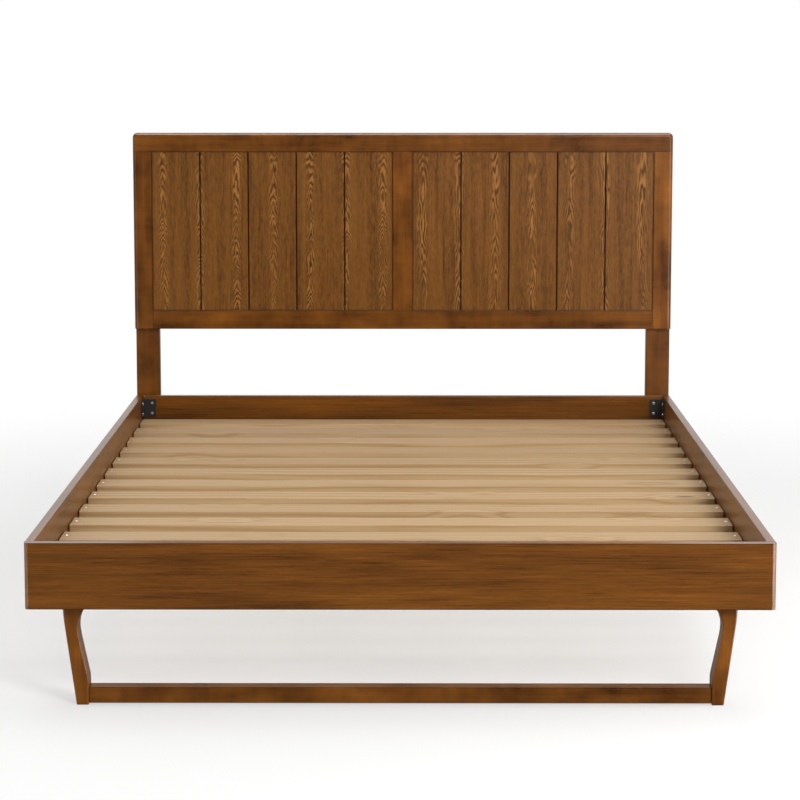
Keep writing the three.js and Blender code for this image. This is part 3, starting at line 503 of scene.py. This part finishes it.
def panel_veneer(name, shift, tone, flame_length, wander, reach):
    """Upright leaves of flat-cut veneer: a narrow flame of steep, uneven arches up the middle of each."""
    weave = Weave(f"panel_veneer_{name}")
    fine, broad = fibres(weave, Z, shift)
    pores = open_pores(weave, Z, shift)
    x, y, z = weave.parts(weave.where)
    distance, own = leaf_place(weave, x, shift, wander, flame_length)
    line = flame_lines(weave, distance, z, own, shift, flame_length)
    strength = flame_strength(weave, distance, shift, flame_length, reach)
    colour = veneer_ground(weave, fine, broad, shift, tone)
    flame = weave.blend(line, tint(VENEER_DARK, 0.95 * tone), tint(FLAME_LIGHT, tone))
    colour = weave.blend(strength, colour, flame)
    colour = weave.blend(weave.math("MULTIPLY", pores, 0.45), colour, tint(VENEER_DARK, 0.8))
    colour = paint_groove_stain_and_shade(weave, y, colour)
    colour = paint_joint_stain_and_shade(weave, name, colour, PANEL_TONGUE)
    roughness = weave.spread(fine, 0.3, 0.7, 0.28, 0.38)
    normal = weave.relief(weave.math("SUBTRACT", fine, pores), 0.00007, 0.55)
    return weave.finish(colour, roughness, normal, gloss=LACQUER_GLOSS)


PINE_LIGHT = (0.52, 0.35, 0.18, 1)
PINE_RING = (0.36, 0.20, 0.075, 1)
PINE_KNOT = (0.13, 0.055, 0.02, 1)


def slat_wood(name, axis, shift, tone):
    """Planed pine: pale wood, orange late-wood lines that swirl round small knots, and a dull surface."""
    weave = Weave(f"slat_wood_{name}")
    fine, broad = fibres(weave, axis, shift)
    cells = weave.add("ShaderNodeTexVoronoi")
    weave.put(weave.scaled(along(axis, 2.6, 7.0), shift), cells.inputs["Vector"])
    cells.inputs["Scale"].default_value = 1.0
    knot = weave.spread(cells.outputs["Distance"], 0.035, 0.085, 1.0, 0.0, smooth=True)
    swirl = weave.spread(cells.outputs["Distance"], 0.05, 0.35, 1.0, 0.0, smooth=True)
    ring = rings(weave, axis, shift, pith_depth=0.07, spacing=0.0075, wander=0.05)
    ring = weave.math("PINGPONG", weave.math("MULTIPLY_ADD", swirl, 3.0, ring), 1.0)
    late = weave.spread(ring, 0.35, 0.95, smooth=True)
    colour = weave.blend(weave.math("MULTIPLY", late, 0.55), tint(PINE_LIGHT, tone), tint(PINE_RING, tone))
    colour = weave.blend(weave.spread(fine, 0.3, 0.7, 0.0, 0.22), colour, tint(PINE_RING, 0.85 * tone))
    colour = weave.blend(weave.math("MULTIPLY", knot, 0.8), colour, PINE_KNOT)
    roughness = weave.spread(fine, 0.3, 0.7, 0.55, 0.72)
    normal = weave.relief(weave.math("ADD", fine, broad), 0.00012, 0.5)
    return weave.finish(colour, roughness, normal, gloss=0.3)


# ---- Metal and plastic ----

def zinc_steel():
    """Bright zinc plate: fine turned scratches and a slight blotchy bloom."""
    weave = Weave("zinc_steel")
    bloom = weave.noise(weave.scaled((180, 180, 180)), detail=3.0, roughness=0.6)
    scratches = weave.noise(weave.scaled((2500, 500, 2500)), detail=2.0)
    colour = weave.blend(bloom, (0.50, 0.51, 0.52, 1), (0.70, 0.70, 0.69, 1))
    roughness = weave.spread(weave.math("MULTIPLY_ADD", bloom, 0.6, scratches), 0.5, 1.1, 0.22, 0.42)
    return weave.finish(colour, roughness, weave.relief(scratches, 0.00003, 0.4), metallic=1.0)


def black_steel():
    """Black powder coat: orange-peel texture and a faint grey bloom."""
    weave = Weave("black_steel")
    peel = weave.noise(weave.scaled((1100, 1100, 1100)), detail=2.0)
    bloom = weave.noise(weave.scaled((60, 60, 60)), detail=4.0, roughness=0.6)
    colour = weave.blend(bloom, (0.010, 0.010, 0.011, 1), (0.024, 0.024, 0.026, 1))
    return weave.finish(colour, weave.spread(bloom, 0.3, 0.7, 0.42, 0.55), weave.relief(peel, 0.00008, 0.5))


def black_plastic():
    """Moulded plastic with a fine spark-eroded grain."""
    weave = Weave("black_plastic")
    grain = weave.noise(weave.scaled((1800, 1800, 1800)), detail=3.0)
    wear = weave.noise(weave.scaled((90, 90, 90)), detail=3.0)
    colour = weave.blend(wear, (0.012, 0.012, 0.012, 1), (0.030, 0.029, 0.028, 1))
    return weave.finish(colour, weave.spread(wear, 0.3, 0.7, 0.50, 0.66), weave.relief(grain, 0.00006, 0.6))


SHARED = {"zinc_steel": zinc_steel(), "black_steel": black_steel(), "black_plastic": black_plastic()}


def grain_axis(name):
    """Wood grain runs along a piece's longest side."""
    low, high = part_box(name)
    return max(range(3), key=lambda i: high[i] - low[i])


# From one arch to the next along the grain, how far a flame sways and its half-width: the right panel's
# leaves have longer, calmer arches.
PANEL_FLAMES = {
    "headboard_left_panel": (0.026, 0.014, 0.0155),
    "headboard_right_panel": (0.060, 0.022, 0.019),
}

# How light a piece is made: its stain, and painted light on the headboard's stiles and the foot legs, which
# get lighter from left to right as the light falls from the right. A board that isn't named gets a random tone
# near 1.
PIECE_TONE_AND_LIGHT = {
    "foot_rail": 1.17,
    "foot_stretcher": 1.0,
    "head_stretcher": 1.0,
    "foot_left_leg": 1.20,
    "foot_right_leg": 1.30,
    "head_left_leg": 1.10,
    "head_right_leg": 1.10,
    "headboard_top_rail": 0.96,
    "headboard_left_stile": 0.92,
    "headboard_centre_stile": 1.08,
    "headboard_right_stile": 1.14,
}
PANEL_TONE = 0.99


def wood_for(name, chance):
    """A piece's own material, from its own place in the wood and made a little lighter or darker: by its
    stain, and on some pieces by painted light.
    """
    shift = tuple(chance.uniform(1, 40) for _ in range(3))
    tone = PIECE_TONE_AND_LIGHT.get(name, chance.uniform(0.94, 1.06))
    kind = slot_of[name]
    if kind == "panel_veneer":
        return panel_veneer(name, shift, PANEL_TONE, *PANEL_FLAMES[name])
    make = {"rail_veneer": rail_veneer, "stained_wood": stained_wood, "slat_wood": slat_wood}[kind]
    return make(name, grain_axis(name), shift, tone)


# ---- Softened edges ----

# Millimetres by slot.
EDGE_RADIUS = {"rail_veneer": 1.2, "stained_wood": 1.4, "panel_veneer": 0.4, "slat_wood": 2.0,
               "zinc_steel": 0.25, "black_steel": 0.4, "black_plastic": 0.5}
EDGE_ANGLE = 38  # degrees; gentler facets belong to a curve
WELD_DISTANCE = 1e-6


def soften(node, radius):
    """Joins the facets and rounds the sharp edges."""
    weld = node.modifiers.new("weld", "WELD")
    weld.merge_threshold = WELD_DISTANCE
    bevel = node.modifiers.new("edges", "BEVEL")
    bevel.width = radius * MM
    bevel.segments = 3
    bevel.limit_method = "ANGLE"
    bevel.angle_limit = math.radians(EDGE_ANGLE)
    bevel.use_clamp_overlap = True
    bevel.harden_normals = False


def dress(name, chance):
    node = nodes[name]
    kind = slot_of[name]
    node.data.materials.clear()
    node.data.materials.append(SHARED[kind] if kind in SHARED else wood_for(name, chance))
    soften(node, EDGE_RADIUS[kind])


for number, name in enumerate(sorted(nodes)):
    dress(name, random.Random(number + 1))


# ---- Screws ----

SCREW_SIDES = 32
# A head's outline from its seat up, as shares of its radius and its crown.
HEAD_PROFILE = [(1.0, 0.0), (1.0, 0.35), (0.93, 0.68), (0.78, 0.90), (0.55, 1.0)]
RECESS_REACH = 0.5  # of the cross recess, as a share of the head's radius
RECESS_ARM = 0.22  # half-width of its arms, as a share of its reach
RECESS_DEPTH = 0.62  # as a share of the crown
RECESS_TAPER = 0.8


def head_loop(form, radius, height):
    angles = [2 * math.pi * i / SCREW_SIDES for i in range(SCREW_SIDES)]
    return [form.verts.new((radius * math.cos(a), radius * math.sin(a), height)) for a in angles]


def join_loops(form, lower, upper):
    count = len(lower)
    for i in range(count):
        j = (i + 1) % count
        form.faces.new((lower[i], lower[j], upper[j], upper[i]))


def loop_edges(form, loop):
    return [form.edges.get((a, b)) for a, b in zip(loop, loop[1:] + loop[:1])]


def cross_outline(reach):
    """The twelve corners of a cross, three to each quarter turn."""
    arm = reach * RECESS_ARM
    quarter = [(reach, -arm), (reach, arm), (arm, arm)]
    quarters = [Matrix.Rotation(turn * math.pi / 2, 2) for turn in range(4)]
    return [rotation @ Vector(point) for rotation in quarters for point in quarter]


def screw_mesh(name, radius, crown, steel):
    """A pan-head screw lying along +Z with its seat at z = 0: a domed head with a cross recess."""
    form = bmesh.new()
    loops = [head_loop(form, radius * share, crown * height) for share, height in HEAD_PROFILE]
    for lower, upper in zip(loops, loops[1:]):
        join_loops(form, lower, upper)
    form.faces.new(list(reversed(loops[0])))
    outline = cross_outline(radius * RECESS_REACH)
    depth = crown * RECESS_DEPTH
    mouth = [form.verts.new((p.x, p.y, crown)) for p in outline]
    floor = [form.verts.new((p.x * RECESS_TAPER, p.y * RECESS_TAPER, crown - depth)) for p in outline]
    join_loops(form, mouth, floor)
    form.faces.new(floor)
    edges = loop_edges(form, loops[-1]) + loop_edges(form, mouth)
    bmesh.ops.triangle_fill(form, edges=edges, use_beauty=True)
    bmesh.ops.recalc_face_normals(form, faces=form.faces)
    mesh = bpy.data.meshes.new(name)
    form.to_mesh(mesh)
    form.free()
    mesh.materials.append(SHARED[steel])
    return mesh


IRON_SCREW = screw_mesh("iron_screw_head", 4.2 * MM, 2.2 * MM, "zinc_steel")
SLAT_SCREW = screw_mesh("slat_screw_head", 4.0 * MM, 1.6 * MM, "zinc_steel")
SEAT_GAP = 0.05 * MM  # between a head and the face it sits on


def add_screw(name, mesh, place, facing, turn):
    """A screw head at `place`, its top towards the unit vector `facing`, its recess turned by `turn`."""
    screw = bpy.data.objects.new(name, mesh)
    rotation = Vector(facing).to_track_quat("Z", "Y").to_matrix() @ Matrix.Rotation(turn, 3, "Z")
    screw.matrix_world = Matrix.Translation(Vector(place) + Vector(facing) * SEAT_GAP) @ rotation.to_4x4()
    scene.collection.objects.link(screw)
    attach(screw, "frame")


HOLE_EDGE = 12 * MM  # from an iron's edge to its screw's centre
PLATE = 3 * MM  # the irons' thickness
turns = random.Random(7)


def corner_iron_screws():
    for end, toward in (("foot", 1), ("head", -1)):
        for side, inward in (("left", 1), ("right", -1)):
            name = f"{end}_{side}_corner_iron"
            low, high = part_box(name)
            wall_x = (low.x if side == "left" else high.x) + inward * PLATE
            wall_y = (low.y if end == "foot" else high.y) + toward * PLATE
            tip_x = (high.x if side == "left" else low.x) - inward * HOLE_EDGE
            tip_y = (high.y if end == "foot" else low.y) - toward * HOLE_EDGE
            for level, z in (("lower", low.z + HOLE_EDGE), ("upper", high.z - HOLE_EDGE)):
                turn = turns.uniform(0, math.pi)
                add_screw(f"{name}_end_screw_{level}", IRON_SCREW, (tip_x, wall_y, z), (0, toward, 0), turn)
                add_screw(f"{name}_side_screw_{level}", IRON_SCREW, (wall_x, tip_y, z), (inward, 0, 0), turn)


def hanger_screws():
    for end, toward in (("foot", 1), ("head", -1)):
        name = f"{end}_beam_hanger"
        low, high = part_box(name)
        beam_low, beam_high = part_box("centre_beam")
        face_y = (low.y if end == "foot" else high.y) + toward * PLATE
        for side, edge, cheek in (("left", low.x, beam_low.x), ("right", high.x, beam_high.x)):
            cheek += math.copysign(PLATE, cheek)
            for level, z in (("lower", low.z + HOLE_EDGE), ("upper", high.z - HOLE_EDGE)):
                place = ((edge + cheek) / 2, face_y, z)
                turn = turns.uniform(0, 3)
                add_screw(f"{name}_{side}_screw_{level}", IRON_SCREW, place, (0, toward, 0), turn)


def leg_plate_screws():
    low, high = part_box("centre_leg_plate")
    for i, x in enumerate((low.x + HOLE_EDGE, high.x - HOLE_EDGE)):
        for j, y in enumerate((low.y + HOLE_EDGE, high.y - HOLE_EDGE)):
            place = (x, y, low.z)
            add_screw(f"centre_leg_plate_screw_{i}{j}", IRON_SCREW, place, (0, 0, -1), turns.uniform(0, 3))


def slat_screws():
    """Each slat is screwed down to both ledges."""
    for name in sorted(n for n in nodes if n.startswith("slat_")):
        low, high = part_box(name)
        for side in ("left", "right"):
            ledge_low, ledge_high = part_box(f"{side}_slat_ledge")
            place = ((ledge_low.x + ledge_high.x) / 2, (low.y + high.y) / 2, high.z)
            add_screw(f"{name}_{side}_screw", SLAT_SCREW, place, (0, 0, 1), turns.uniform(0, 3))


corner_iron_screws()
hanger_screws()
leg_plate_screws()
slat_screws()
